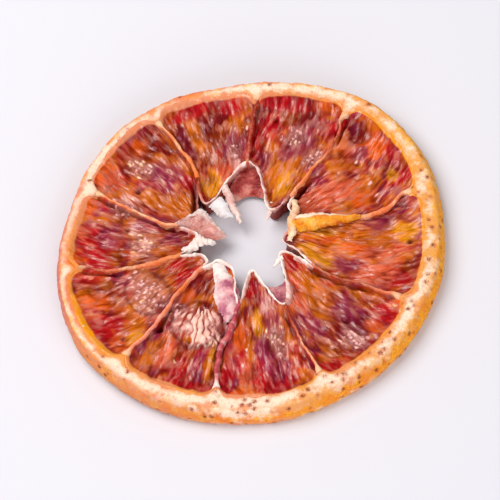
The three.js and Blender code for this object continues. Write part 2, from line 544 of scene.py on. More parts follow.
def rind_looks():
    """Cream pith inside, orange zest with oil glands outside, by the depth past the zest."""
    looks = Looks("rind")
    here = looks.where()
    stained = looks.weight("stained")
    wander = looks.noise(here, 0.6, 4, 0.6)
    fine = looks.noise(here, 3.4, 4, 0.6)
    blotch = looks.noise(here, 0.42, 4, 0.6)
    freckle = looks.noise(here, 6)
    yellow = looks.weight("yellow") + fine.to(0.35, 0.65, -0.25, 0.25)
    clear = looks.weight("white") + blotch.to(0.4, 0.6, -0.35, 0.5) + fine.to(0.35, 0.65, -0.15, 0.15)
    rim = looks.weight("inner") * wander.to(0.3, 0.6, 0.65, 1)
    pith = looks.ramp(wander, [(0.36, CREAM), (0.47, PEACH), (0.57, BLUSH), (0.64, CREAM)]).under(
        (YOLK, yellow.to(0.1, 0.9, 0, 0.9)),
        (PITH_WHITE, clear.to(0.1, 0.8, 0, 0.95)),
        (looks.mix(looks.weight("yellow"), RIM_ORANGE, RIM_YELLOW), rim),
    )
    edge = looks.weight("depth") + wander.to(0.38, 0.62, -0.9, 0.9) + fine.to(0.3, 0.7, -0.35, 0.35)
    some = (looks.cells(here, 0.8, "Color") + stained.to(0, 1, -0.25, 0.1)).to(0.54, 0.6)
    gland = looks.cells(here, 0.8) + freckle.to(0.3, 0.7, -0.22, 0.22)
    pores = looks.cells(here, 1.7)
    skin = looks.mix(blotch.to(0.4, 0.6), ZEST, ZEST_YELLOW).under(
        (ZEST_YELLOW, yellow.to(0.2, 1, 0, 0.7)),
        (ZEST_RED, stained * fine.to(0.35, 0.65, 0, 0.7)),
        (pith, edge.to(-1.2, 0.6)),
        # Pink over the zest, which round the left is painted shade on the wall.
        (PINKISH, looks.weight("pink")),
        (ZEST_RED, freckle.to(0.56, 0.72, 0, 0.4)),
        (ZEST_RED, gland.to(0.2, 0.5, 0.6, 0) * some),
        (SPECK, gland.to(0.12, 0.3, 0.85, 0) * some),
        (ZEST_RED, pores.to(0.1, 0.4, 0.22, 0)),
    )
    bumps = [(pores, 0.5, 0.14), (looks.noise(here, 5, 5), 0.5, 0.14)]
    return looks.finish(skin, fine.to(0.3, 0.7, 0.42, 0.68), 0.15, 0.15, *bumps)


# Each kind of patch in the pulp, its colour and how much of it shows at most.
PATCH_COLOURS = [
    ("shade", MAROON, 0.75),
    ("amber", AMBER, 0.95),
    ("orange", ORANGE, 0.95),
    ("crimson", CRIMSON, 0.95),
    ("mauve", PLUM, 0.75),
    ("gold", GOLD, 0.95),
    ("beads", GREYISH, 0.75),
    ("flush", FLUSH, 0.95),
]


def pulp_looks():
    """Shrivelled juice sacs: their colour wanders slowly between red, mauve and amber, with light
    and shade painted on: tops lighter, seams, crevices and pits darker, and glints as highlights."""
    looks = Looks("pulp")
    grain = looks.node("Attribute", {}, "Vector", attribute_name="grain")
    here = looks.where()
    streaks = looks.noise(grain.stretched(1.1, 0.34), 1, 2, 0.45)
    dabs = looks.noise(grain.stretched(1.35, 0.42), 1, 2, 0.5)
    stripes = looks.noise(grain.stretched(1.5, 0.3), 1, 1, 0.4)
    clouds = looks.noise(here, 0.32, 2, 0.5)
    tinge = looks.noise(here, 0.22, 2, 0.5)
    tones = [(0.38, MAUVE), (0.45, BROWN), (0.5, SALMON), (0.55, ROSE), (0.62, AMBER)]
    torn = streaks.to(0.35, 0.65, -0.14, 0.14)
    patches = []
    for name, colour, most in PATCH_COLOURS:
        patches.append((colour, (looks.weight(name) + torn).to(0.1, 0.55, 0, most)))
    # Random dabs and sacs, and the relief's height: tops get a painted highlight, low places painted shade.
    light = dabs.to(0.32, 0.68, -0.5, 0.5) + looks.weight("rise").to(0.2, 0.8, -0.4, 0.4)
    light = light + looks.weight("sac").to(0, 1, -0.12, 0.12)
    light = light * looks.noise(here, 0.28, 1).to(0.4, 0.6, 0.5, 1.2)
    pale = looks.weight("pale") + stripes.to(0.38, 0.56, -0.8, 0.15)
    fan = looks.weight("fan") + dabs.to(0.35, 0.65, -0.15, 0.15)
    rim = looks.weight("rim") + clouds.to(0.35, 0.65, -0.35, 0.25)
    # Glints: small strokes painted on as highlights.
    strokes = grain.stretched(1.4, 0.7)
    often = looks.cells(strokes, 1, "Color") + clouds.to(0.4, 0.6, -0.15, 0.1)
    often = often + looks.weight("beads") * 0.6
    glint = looks.cells(strokes, 1).to(0.2, 0.4, 1, 0) * often.to(0.86, 0.92)
    glint = glint * dabs.to(0.38, 0.52, 0.4, 1)
    body = looks.ramp(streaks * 0.15 + clouds * 0.85, tones).under(
        (AMBER, tinge.to(0.51, 0.6, 0, 0.8)),
        (PLUM, tinge.to(0.47, 0.38, 0, 0.7)),
        *patches,
        # SHEEN is painted highlight and DEEP_RED painted shade, both laid by light.
        (SHEEN, light.to(0.05, 1, 0, 0.46)),
        (DEEP_RED, light.to(0.15, -0.85, 0, 0.78)),
        (PALE, pale.to(0.2, 0.7, 0, 0.8)),
        # The fan's pale sacs, whitest along their crests as a painted highlight.
        (GREYISH, fan.to(0, 0.3, 0, 0.85)),
        (PALE, fan.to(0.3, 0.55, 0, 0.9)),
        (GLINT_WHITE, fan.to(0.5, 0.85, 0, 0.9)),
        # A highlight painted on the tops of some beads.
        (GLINT_PINK, looks.weight("pearl").to(0.2, 0.9, 0, 0.85)),
        # Painted shade in the seams between the sacs.
        (DEEP_RED, looks.weight("seam") * clouds.to(0.4, 0.6, 0.4, 0.1)),
        # Painted shade in crevices and pits, at the foot of bulges and in the fan's gaps.
        (DEEP_RED, looks.weight("dark")),
        (looks.mix(looks.weight("yellow"), RIM_PEACH, RIM_YELLOW), rim.to(0.2, 0.7, 0, 0.9)),
        # Painted glints.
        (looks.mix(tinge.to(0.45, 0.6), GLINT_PINK, GLINT_CREAM), glint),
    )
    roughness, gloss = dabs.to(0.35, 0.65, 0.38, 0.2), dabs.to(0.44, 0.64, 0.04, 0.55)
    bumps = [(streaks, 0.5, 0.2), (dabs, 0.5, 0.2), (glint, 0.6, 0.15)]
    return looks.finish(body, roughness, gloss, 0.1, *bumps)


# Each skin's low, middle and high tone, its colour where it is pith, and its deep colour, which
# is painted shade low down on membranes and into the hole on lips, and a darker tone of its own.
SKINS = {
    "membrane": ((240, 124, 76), (248, 146, 100), FLESH_LIGHT, CREAM, BROWN),
    "salmon_skin": ((244, 132, 96), (248, 156, 128), SKIN_LIGHT, CREAM, BROWN),
    "torn_pith": ((212, 134, 124), SKIN_LIGHT, SKIN_LIGHT, SKIN_WHITE, (140, 54, 48)),
    "mauve_skin": ((168, 84, 102), (200, 126, 132), (226, 162, 156), SKIN_WHITE, PLUM),
    "amber_skin": ((204, 98, 12), (232, 146, 22), (244, 178, 52), PITH_WHITE, BROWN),
    "crimson_skin": ((142, 26, 30), (196, 84, 76), (226, 140, 124), SKIN_LIGHT, DEEP_RED),
    "cream_skin": ((232, 150, 104), (244, 190, 128), (250, 214, 160), PITH_WHITE, SALMON),
    "flake_skin": ((206, 178, 172), (224, 206, 202), (230, 218, 216), (232, 226, 226), AMBER),
    "plum_skin": ((150, 38, 58), (184, 66, 84), (212, 112, 116), SKIN_WHITE, PLUM),
    "lavender_skin": ((176, 92, 116), (216, 144, 154), (236, 180, 180), SKIN_WHITE, PLUM),
}


def skin_looks(name, low, middle, high, pale, hidden):
    """Thin skin whose tones wander, with the weights white, deep, amber and rosy."""
    looks = Looks(name)
    here = looks.where()
    wander = looks.noise(here, 0.45, 4, 0.6)
    fine = looks.noise(here, 3, 4, 0.6)
    ragged = fine.to(0.3, 0.7, -0.2, 0.2)
    white = looks.weight("white") + ragged + wander.to(0.35, 0.65, -0.2, 0.2)
    skin = looks.ramp(wander, [(0.38, low), (0.5, middle), (0.62, high)]).under(
        (low, fine.to(0.5, 0.7, 0, 0.35)),
        (RIB_AMBER, looks.weight("amber")),
        (RIB_ROSE, looks.weight("rosy")),
        (pale, white.to(0.1, 0.9)),
        # deep: painted shade low on membranes and lips, and a darker tone of the skin's own.
        (hidden, (looks.weight("deep") + ragged).to(0.1, 0.9)),
    )
    bumps = [(fine, 0.5, 0.15), (looks.noise(here, 1.3, 3), 0.4, 0.3)]
    return looks.finish(skin, fine.to(0.3, 0.7, 0.32, 0.55), 0.25, 0.3, *bumps)


# ---- The rind ----

COLUMNS_IN_SEGMENT = 110
# How far the pith's inner edge rounds off, across and down.
EDGE_IN = 0.45
EDGE_DOWN = 0.6
# How ragged that edge is, and how often round the slice.
RAGGED = 0.3
RAGGED_ROUND = 20
GLAND_DEPTH = 0.16
GLAND_RADIUS = 0.33
FURROWS = 0.14
BUMPS = 0.07
GLANDS_ROUND = 33
GLANDS_UP = 0.95
# How wide the zest shows on the face, and where it is wider or less wide: how much, direction
# and spread. The other arcs say the same three things of the colours.
ZEST_WIDTH = 0.25
ZEST_SLANTS = [(1, 104, 14), (-1.3, 266, 40)]
WHITE_ARCS = [
    (1, 68, 26), (1.4, 136, 26), (1.2, 160, 14), (1.3, 192, 22), (0.8, 224, 20), (1, 256, 18),
    (0.7, 284, 10), (0.9, 319, 11),
]
YELLOW_ARCS = [
    (1, 15, 40), (1, 345, 30), (0.7, 312, 25), (1, 200, 24), (0.5, 172, 14), (0.6, 240, 7), (0.8, 277, 11),
    (0.6, 298, 10),
]
# Where pink is laid over the zest: round the left it is painted shade on the wall.
PINK_ARCS = [(1, 180, 38), (0.5, 225, 25), (0.5, 105, 25)]
# Where the pith's inner edge has no colour of its own, and where its white reaches further down.
PLAIN_ARCS = [(0.75, 250, 26), (0.9, 134, 28), (0.8, 72, 22)]
BROAD_ARCS = [(0.5, 134, 30), (0.3, 74, 24)]
# Where the middle of the white lies, as a share of the way out over the face, and its shifts.
WHITE_MIDDLE = 0.52
WHITE_SHIFTS = [(0.28, 192, 26), (-0.14, 250, 46), (-0.26, 134, 32)]
# Direction and spread: where the pith's inner edge is most coloured, where the wall is stained,
# where the white is broadest and where it runs down the wall.
INNER_ARC = (182, 42)
STAINED_ARC = (290, 58)
WIDEST_ARC = (134, 30)
RUNNING_ARC = (256, 11)


def rind():
    """The ring of pith and zest, as columns of points round its section."""
    places = np.arange(COLUMNS_IN_SEGMENT) / COLUMNS_IN_SEGMENT
    segments = [round_core(k, places) for k in range(COUNT)]
    direction, outer, pith, height = [np.concatenate(part)[:, None] for part in zip(*segments)]
    turning = RAGGED_ROUND * np.cos(direction), RAGGED_ROUND * np.sin(direction)
    inside, inside_below = [pith + RAGGED * rough(seed, 3, *turning) for seed in (11, 17)]

    def share(count):
        return np.linspace(0, 1, count, endpoint=False)[None, :]

    angle = share(7) * np.pi / 2
    level = 1 - share(22)
    flat_in = inside + EDGE_IN
    flat_out = outer + wall_out(1) - CORNER
    foot_out = outer + wall_out(0) - CORNER
    foot_in = inside_below + EDGE_IN
    outline = [
        (inside + EDGE_IN * (1 - np.cos(angle)), height - EDGE_DOWN * (1 - np.sin(angle))),
        (lerp(flat_in, flat_out, share(20)), height),
        (flat_out + CORNER * np.sin(angle), height - CORNER * (1 - np.cos(angle))),
        (outer + wall_out(level), lerp(CORNER, height - CORNER, level)),
        (foot_out + CORNER * np.cos(angle), CORNER * (1 - np.sin(angle))),
        (lerp(foot_out, foot_in, share(12)), 0),
        (foot_in - EDGE_IN * np.sin(angle), EDGE_DOWN * (1 - np.cos(angle))),
        (lerp(inside_below, inside, share(5)), lerp(EDGE_DOWN, height - EDGE_DOWN, share(5))),
    ]
    r = np.concatenate([out for out, up in outline], axis=1)
    z = np.concatenate([up + 0 * out for out, up in outline], axis=1)
    x, y = from_core(direction, r)
    smooth = np.stack([x, y, z + lift(x, y)], axis=-1)
    along, around = [np.roll(smooth, -1, axis=i) - np.roll(smooth, 1, axis=i) for i in (0, 1)]
    normals = unit(np.cross(around, along))
    x, y, z = np.moveaxis(smooth, -1, 0)
    outward = np.clip(normals[..., 0] * np.cos(direction) + normals[..., 1] * np.sin(direction), 0, 1)
    first, _, owner = cells(31, np.arctan2(y, x) * GLANDS_ROUND, z / GLANDS_UP + 4)
    relief = -GLAND_DEPTH * hump(first, GLAND_RADIUS) * step(0.2, 0.6, owner) * outward
    relief = relief + FURROWS * rough(41, 3, x / 1.5, y / 1.5, z / 2.5)
    relief = relief + BUMPS * rough(47, 3, x / 0.5, y / 0.5, z / 0.5)
    points = smooth + normals * relief[..., None]
    points[..., 2] = np.maximum(points[..., 2], 0)

    above = height + lift(x, y) - z
    below = z - lift(x, y)
    side = np.where(above < below, flat_out, foot_out) - r
    drop = np.maximum(np.minimum(above, below), 0)
    depth = np.where(side > 0, side + CORNER, CORNER + np.minimum(side, 0) - drop) - ZEST_WIDTH
    for width, middle, spread in ZEST_SLANTS:
        depth = depth - width * hump(np.degrees(direction) - middle, spread)
    from_pith = r - inside
    across = from_pith / (outer - pith)
    leftward = arc(direction, *INNER_ARC)
    inner = step(1.1 + 0.7 * leftward, 0.2, from_pith) * np.minimum(0.45 + 0.8 * leftward, 1)
    clear = arcs(direction, WHITE_ARCS)
    on_top = step(0.6, 0.2, above - arcs(direction, BROAD_ARCS))
    middle = WHITE_MIDDLE + sum(much * arc(direction, *where) for much, *where in WHITE_SHIFTS)
    breadth = 0.24 + 0.16 * arc(direction, *WIDEST_ARC)
    white = (0.25 + 0.95 * clear) * hump(across - middle, breadth) * on_top
    down = step(2.6, 0.5, above) * step(0.8, 0.95, across)
    white = np.maximum(white, 0.8 * arc(direction, *RUNNING_ARC) * down)
    # Pink: painted shade on the wall round the left.
    pink = 0.9 * arcs(direction, PINK_ARCS) * step(1.5, 0.1, depth)
    weights = {
        "depth": depth,
        "inner": inner * (1 - arcs(direction, PLAIN_ARCS)),
        "stained": 0.3 + 0.7 * arc(direction, *STAINED_ARC) + 0 * r,
        "pink": pink * (1 - 0.9 * np.clip(white, 0, 1)),
        "white": white,
        "yellow": arcs(direction, YELLOW_ARCS) * (1 - 0.7 * hump(across - 0.5, 0.25) * clear),
    }
    mesh_piece("rind", points.reshape(-1, 3), ring_quads(*r.shape), rind_looks(), weights)


# ---- The pulp ----

# Patches of colour in the pulp: direction and distance of the middle, half the length along
# the segment and half the width across it.
PATCHES = {
    "shade": [
        (93, 22.5, 5, 5.5), (70, 24, 3, 3.5), (118, 23.5, 3.5, 2.5), (158, 12.5, 3, 1.8), (188, 12, 3, 1.5),
        (300, 23, 5, 4.5), (232, 24.5, 2.5, 1.6), (178, 15.5, 2, 1.2), (93, 20, 3, 3), (104, 18, 4, 1.4),
        (70, 21, 4, 2), (266, 20.5, 2, 1.4), (120, 11, 3, 1.2), (67, 20, 3, 1.6), (94, 20.5, 2.6, 2),
        (254, 12, 2.4, 1.2), (104, 17, 3.4, 1.6), (190, 23.5, 2, 2), (57, 24, 2.4, 2.2),
        (221, 12, 3.2, 1.5), (264, 12, 2, 0.9), (5, 12, 1.6, 1), (130, 12, 2, 1), (33, 24.5, 1.6, 1.2),
        (119, 11, 2, 0.7), (30, 12, 2.4, 0.7),
    ],
    "amber": [
        (52, 11.5, 3.5, 2.6), (83, 22, 1.2, 1), (101, 22.5, 2.2, 1.1), (135, 12.8, 3, 2.2),
        (156, 22.3, 2.5, 1.2), (171, 14, 2, 1.5), (208, 23.2, 1.8, 1.8), (223, 13.5, 1.6, 1),
        (222, 25, 3, 1.5), (264, 15.5, 2.4, 0.9), (244, 23, 3.5, 0.9), (300, 16.5, 4, 2.2),
        (307, 13, 2, 1.5), (8, 16, 3, 1.2), (330, 12.6, 3.2, 1.3), (343, 13.5, 3, 1.3), (347, 25, 2.2, 2),
        (13, 20, 3, 1.6), (259, 20, 3, 0.8), (290, 23.5, 2.5, 0.9), (346, 19, 4, 2), (348, 12.5, 3.5, 1.5),
        (339, 22, 4, 1.6), (17, 12, 3, 1.8), (52, 14, 2.2, 1.2), (199, 16, 2.6, 2), (140, 17, 3.4, 1.4),
        (119, 16, 3.2, 1.4), (138, 12, 2, 1.4), (349, 23.5, 3.4, 2), (350, 19, 3, 1.8),
        (119, 17.5, 3.4, 1.3), (120, 20.5, 2, 1.2), (102, 20, 2.4, 0.8), (190, 13, 2.4, 1),
        (28, 24, 1.6, 1), (254, 11, 2, 1), (84, 20, 2.2, 1), (102, 12, 2, 0.9),
    ],
    "orange": [
        (139, 25.7, 1.4, 2.6), (152, 26.4, 1.5, 1.6), (174, 26.4, 1.8, 3), (192, 25.8, 2.2, 1.8),
        (212, 27.2, 1.4, 2.2), (24, 25, 2, 1.6), (47, 26.2, 0.8, 2), (256, 28.6, 1.4, 1.4),
        (122, 25, 1.2, 1.4), (308, 26, 2, 1.1), (338, 18, 3, 1.2), (320, 28, 1, 2), (215, 14, 2, 0.8),
        (254, 18, 3, 1), (6, 20, 2.5, 1.2), (233, 24.4, 2, 0.8), (28, 24.5, 2, 1.4), (346, 12, 2.6, 1.2),
        (166, 22.5, 2.2, 1.2),
    ],
    "crimson": [
        (168, 24.6, 2.4, 3), (180, 24.8, 3, 1.6), (203, 26.4, 2.6, 2.4), (233, 26.3, 3.2, 1.3),
        (328, 25.2, 2.4, 1.5), (313, 26.4, 2.2, 1.6), (99, 25.4, 1, 3.6), (10, 25.5, 2.6, 1.5),
        (74, 17.4, 2.8, 0.7), (268, 26.3, 3.4, 3), (251, 25, 3.5, 1.1), (203, 11.5, 2.2, 1.2),
        (149, 23.4, 1.6, 1), (41, 24.2, 2, 1.1), (310, 8.5, 1.6, 1.2), (258, 9, 2, 1), (28, 13, 2, 0.8),
        (256, 22, 2.4, 0.8), (119, 14, 2.4, 1), (175, 24, 2, 1.4), (239, 21, 3, 0.9), (119, 12, 2, 0.8),
        (190, 12, 2, 0.8), (167, 24, 2.4, 2.4), (84, 24.5, 1.6, 2), (67, 20, 2.4, 1.2), (264, 24.5, 3, 1.4),
        (287, 27.5, 1.2, 2.5), (66, 24.3, 1.2, 4), (341, 24.6, 1.6, 0.9), (240, 28, 1.2, 2.4),
        (18, 26.6, 1, 2),
    ],
    "pale": [
        (168, 16.4, 1.2, 1), (159, 18.2, 1.2, 1.2), (144, 20.3, 1.3, 0.8), (300, 25.6, 1.6, 0.9),
        (97, 16.4, 1.5, 0.6), (236, 22.5, 3, 0.5), (290, 12, 2, 0.8), (84, 12.5, 2, 0.8), (275, 12, 2, 0.7),
    ],
    "gold": [
        (110, 11, 2.2, 1), (46, 11, 2.2, 1.2), (327, 11.6, 2.4, 0.8), (334, 9.8, 1.6, 0.9),
        (347, 25.2, 1.6, 1.8), (324, 13, 1.6, 0.8), (213, 24.6, 1.4, 1.2), (12, 25, 1, 1.4),
        (264, 15.5, 2, 0.6), (244, 21.5, 2, 0.6), (349, 24.5, 1.6, 1), (102, 12, 1.6, 0.7),
        (350, 12, 2, 0.8),
    ],
    "beads": [
        (199, 18.2, 2.8, 3.4), (168, 16.6, 2, 1.9), (149, 21, 2.4, 1.5), (128, 22, 2.4, 1.3),
        (55, 19, 2, 1.4), (41, 17, 2, 1.2), (300, 25, 2.2, 1.4), (272, 20, 3, 1), (86, 16, 2, 1),
        (218, 17, 2, 1.4), (240, 18.5, 2, 1),
    ],
    "flush": [
        (163, 26.2, 1.4, 1.2), (16, 13, 4, 2.4), (290, 12.5, 3.4, 1.9), (297, 11, 2, 1), (93, 12, 2.4, 1.2),
        (16, 16.5, 3, 1.8), (328, 22, 2.4, 1.2), (337, 21.5, 3, 1.8), (139, 24.6, 1.6, 1.6),
        (258, 24, 2.4, 0.9), (324, 21, 3, 1.2), (226, 24, 2.4, 1),
    ],
    "mauve": [
        (327, 16.5, 2.4, 1.6), (86, 17, 3, 1.6), (265, 20, 2.4, 1.4), (155, 16, 2.6, 1.5),
        (273, 17, 3.4, 1.3), (290, 20, 2.4, 1.3), (56, 16.5, 1.8, 1.4), (300, 25.4, 2.4, 1.6),
        (163, 21.4, 2, 2.4), (50, 18.6, 2.6, 2), (26, 13.5, 2, 0.8), (290, 17.5, 2.4, 1.2),
        (125, 18, 3, 2.4), (283, 19, 2.4, 1.2), (307, 21, 3, 2.2), (27, 23, 1.2, 1), (7, 11.5, 2, 1.2),
        (166, 12, 2, 1), (67, 13, 2.4, 0.9), (274, 13, 3, 1.2), (239, 23, 2, 0.8), (352, 20.5, 2, 1.2),
        (270, 23, 3, 2),
    ],
}

# Crevices where the pulp has torn off a membrane: the membrane, the side (1 for the segment
# that follows it), from where to where, the depth and half the width.
CREVICES = [
    (0, -1, 18, 26, 0.5, 0.16), (0, 1, 19, 27, 0.7, 0.2), (1, -1, 9, 13.2, 1.2, 0.36),
    (1, -1, 21, 26.5, 0.8, 0.22), (1, 1, 22, 26, 0.7, 0.25), (2, -1, 15, 26, 0.7, 0.25),
    (3, 1, 14.5, 26, 0.6, 0.16), (3, 1, 9.5, 13.8, 1.5, 0.75), (4, 1, 11, 26.5, 0.8, 0.2),
    (5, 1, 21, 26.5, 0.9, 0.25), (6, 1, 9, 16, 0.5, 0.16), (6, 1, 17, 21.5, 1.1, 0.3),
    (7, -1, 17, 26, 0.6, 0.2), (7, 1, 15, 24, 0.5, 0.2), (8, -1, 14, 20, 0.6, 0.3),
    (8, -1, 26, 28.5, 0.8, 0.2), (9, -1, 11, 22, 0.9, 0.2), (9, -1, 25, 27, 0.6, 0.2),
]

# Bulges and hollows in the pulp: direction and distance of the middle, half the length along
# the segment and half the width across it, how far it rises and how smooth it is.
FORMS = [
    (231, 17.2, 3.6, 3.6, 0.34, 0.3), (199, 18.1, 3, 3.6, 0.26, 0.2), (216, 12.2, 3.4, 1.5, -0.5, 0.9),
    (168, 16.6, 2.2, 2, 0.15, 0), (33, 25.2, 2, 2.2, -0.55, 0.8), (15, 25.8, 1.8, 2, -0.35, 0.5),
    (270.5, 24.6, 2.8, 0.42, -0.6, 0.3), (261, 24.5, 3, 0.5, -0.3, 0), (100, 16, 4, 1.6, 0.25, 0.4),
    (54, 12, 3, 2, 0.2, 0.5), (188, 24.6, 2, 1.6, -0.35, 0.3), (236, 24.5, 3.6, 0.5, -0.35, 0),
    (245.5, 22.5, 3.4, 0.5, -0.35, 0), (327, 17, 1.8, 1.3, -0.3, 0.3), (304, 24, 2.6, 1.4, -0.25, 0),
]

# A fan of pale, swollen sacs: direction and distance of the hinge, where the fan points, half
# its spread, its length, how many sacs there are and how far they rise.
FAN = (224, 12.8, 252, 43, 9, 8, 0.3)

# Small pits: direction, distance, radius and depth.
PITS = [
    (138.5, 20, 0.45, 0.9), (343.5, 25.7, 0.45, 1), (159.5, 19.2, 0.35, 0.6), (336, 26, 0.3, 0.6),
    (24, 21.3, 0.35, 0.7), (210, 26, 0.35, 0.6), (66, 21.5, 0.4, 0.7), (303, 22, 0.4, 0.7),
    (218, 21, 0.5, 0.8),
]

# Where the rind's colour reaches down onto the pulp: how far, direction and spread.
RIM_ARCS = [
    (0.9, 165, 30), (1.1, 205, 25), (1, 238, 25), (0.7, 290, 30), (0.5, 15, 40), (0.7, 74, 24),
    (1, 112, 30),
]

PULP_ROWS = 116
PULP_COLUMNS = 104
PEARL = 0.62
SAC_WIDTH = 1
SAC_LENGTH = 4
# How high the sacs bulge and differ, and how high the swells and wrinkles over them are.
SAC_RISE = 0.26
SAC_STEP = 0.1
SWELLS = 0.48
WRINKLES = 0.1
# How far the pulp is banked up onto the rind where the rind's colour reaches down.
BANKED = 0.4
# Where the pulp ends: short of the hole's edge, and under the rind.
HOLE_GAP = 0.12
UNDER_RIND = 0.9
# The underside takes its patches from this many degrees further round.
UNDERSIDE_TURN = 100


def from_place(direction, r, degrees, distance):
    """How far points are from a place, along the segment and across it."""
    turned = direction - math.radians(degrees)
    return r * np.cos(turned) - distance, r * np.sin(turned)


def patch_weight(kind, direction, r, seed):
    """How strongly a kind of patch shows at points of the pulp, with a ragged edge."""
    wander = 0.28 * rough(seed, 3, r * np.cos(direction) / 1.6, r * np.sin(direction) / 1.6)
    total = 0 * r
    for degrees, distance, reach, width in PATCHES[kind]:
        along, across = from_place(direction, r, degrees, distance)
        total = np.maximum(total, np.exp(-((along / reach) ** 2 + (across / width) ** 2)))
    return np.clip(total + wander * step(0.05, 0.4, total), 0, 1)


def pulp_relief(r, across, seed):
    """Height of the shrivelled juice sacs, with how near the seams are and each sac's number."""
    bend = 0.9 * noise(seed, r / 4.5, across / 3) + 0.35 * noise(seed + 1, r / 1.6, across / 1.2)
    stretch = 0.5 * noise(seed + 3, across / 1.5, r / 6)
    size = 1 + 0.25 * noise(seed + 2, r / 6, across / 5)
    bent = across + bend
    first, second, owner = cells(seed + 5, bent * size / SAC_WIDTH, r / SAC_LENGTH + stretch)
    seam = 1 - step(0.02, 0.2, second - first)
    body = np.sqrt(step(0, 0.9, second - first))
    plump = 0.5 + 0.5 * noise(seed + 8, r / 3.5, across / 3)
    swell = rough(seed + 13, 2, bent / 2.2, r / 3)
    wrinkles = rough(seed + 17, 2, bent / 0.7, r / 1.3)
    height = SAC_RISE * plump * (body - 0.6) + SAC_STEP * (owner - 0.5)
    return height + SWELLS * swell + WRINKLES * wrinkles, seam, owner


def crevice_at(k, t, r):
    """Depth of the crevices at points of segment k."""
    total = 0 * r
    for number, side, start, end, depth, half in CREVICES:
        if (number if side > 0 else number - 1) % COUNT != k:
            continue
        gap = (t if side > 0 else 1 - t) * (spread_of(k, r) * r)
        width = half * (1 + 0.35 * noise(number + 60, r / 1.3))
        reach = step(start - 0.8, start + 0.8, r) * (1 - step(end - 0.8, end + 0.8, r))
        total = np.maximum(total, 0.8 * depth * reach * hump(gap - 0.28 - width, width))
    return total


def forms_at(direction, r):
    """Rise of the bulges and hollows, how smooth they are and how near the foot of a bulge is."""
    rise, smooth, foot = np.zeros((3, *r.shape))
    ragged = 0.13 * rough(83, 2, r * np.cos(direction) / 1.3, r * np.sin(direction) / 1.3)
    for degrees, distance, reach, width, height, calm in FORMS:
        along, across = from_place(direction, r, degrees, distance)
        away = np.hypot(along / reach, across / width) + ragged
        inside = step(1.15, 0.6, away)
        rise += height * inside
        smooth = np.maximum(smooth, calm * inside)
        if height > 0.25:
            foot = np.maximum(foot, hump(away - 1.12, 0.1))
    return rise, smooth, foot


def fan_at(direction, r):
    """Rise of the fan of pale sacs, how pale each point is, with a painted highlight along each
    crest, and how dark the gaps are painted as shade.
    """
    degrees, distance, heading, half, length, count, height = FAN
    middle = math.radians(degrees)
    x = r * np.cos(direction) - distance * math.cos(middle)
    y = r * np.sin(direction) - distance * math.sin(middle)
    turn = (np.degrees(np.arctan2(y, x)) - heading + 180) % 360 - 180
    fine_x, fine_y = x / 0.8, y / 0.8
    wander = 0.9 * noise(700, x / 3, y / 3) + 0.35 * noise(705, fine_x, fine_y)
    lane = (turn / half + 1) / 2 * count + wander
    own = np.clip(np.floor(lane), 0, count - 1)
    aside = (2 * own + 1) / count - 1
    outer = length * (1 - 0.2 * aside**2 + 0.4 * (chance(720, own) - 0.6))
    inner = length * (0.05 + 0.3 * chance(730, own))
    along = (2 * np.hypot(x, y) - inner - outer) / (outer - inner)
    lumpy = np.abs(0.35 * noise(745, x / 0.7, y / 0.7))
    body = np.sqrt(np.clip(1 - (2 * (lane - own) - 1) ** 2 - np.abs(along) ** 5 - lumpy, 0, 1))
    tone = 0.35 + 0.7 * hump(aside - 0.1, 0.55) * (0.6 + 0.4 * chance(740, own))
    tone = tone + 0.35 * noise(750, fine_x, fine_y)
    near = step(1.3, 1.02, np.hypot(x, y) / outer) * step(1.2, 1, np.abs(turn) / half)
    # Palest on each sac's crest: pale sacs with a painted highlight along the top.
    pale = np.clip(tone, 0, 1) * step(0.1, 0.9, body)
    return height * body, pale, near * (1 - step(0, 0.5, body))


def pearls_at(x, y, beads):
    """Small round beads where the patches of them are: their height and the highlight painted on each."""
    first, _, owner = cells(760, x / PEARL, y / PEARL)
    dome = np.sqrt(np.clip(1 - (first / 0.5) ** 2, 0, 1)) * step(0.25, 0.6, beads)
    return dome, dome * step(0.35, 0.85, owner)


def pit_at(direction, r):
    total = 0 * r
    for degrees, distance, radius, depth in PITS:
        away = np.hypot(*from_place(direction, r, degrees, distance))
        total = np.maximum(total, depth * hump(away, radius))
    return total


def pulp_level(k, t, r, over):
    """Level of the pulp of segment k before its relief: over is 1 for the upper side."""
    _, _, pith, thickness = round_core(k, t)
    x, y = from_core(direction_in(k, t, r), r)
    sink = sink_at(k, t, r, hole_radius(k, t), pith)
    moat = 0.06 * hump(pith - r - 0.4, 0.6)
    if over:
        return thickness + lift(x, y) - sink - moat
    return SINK_BELOW * sink + lift(x, y) + moat


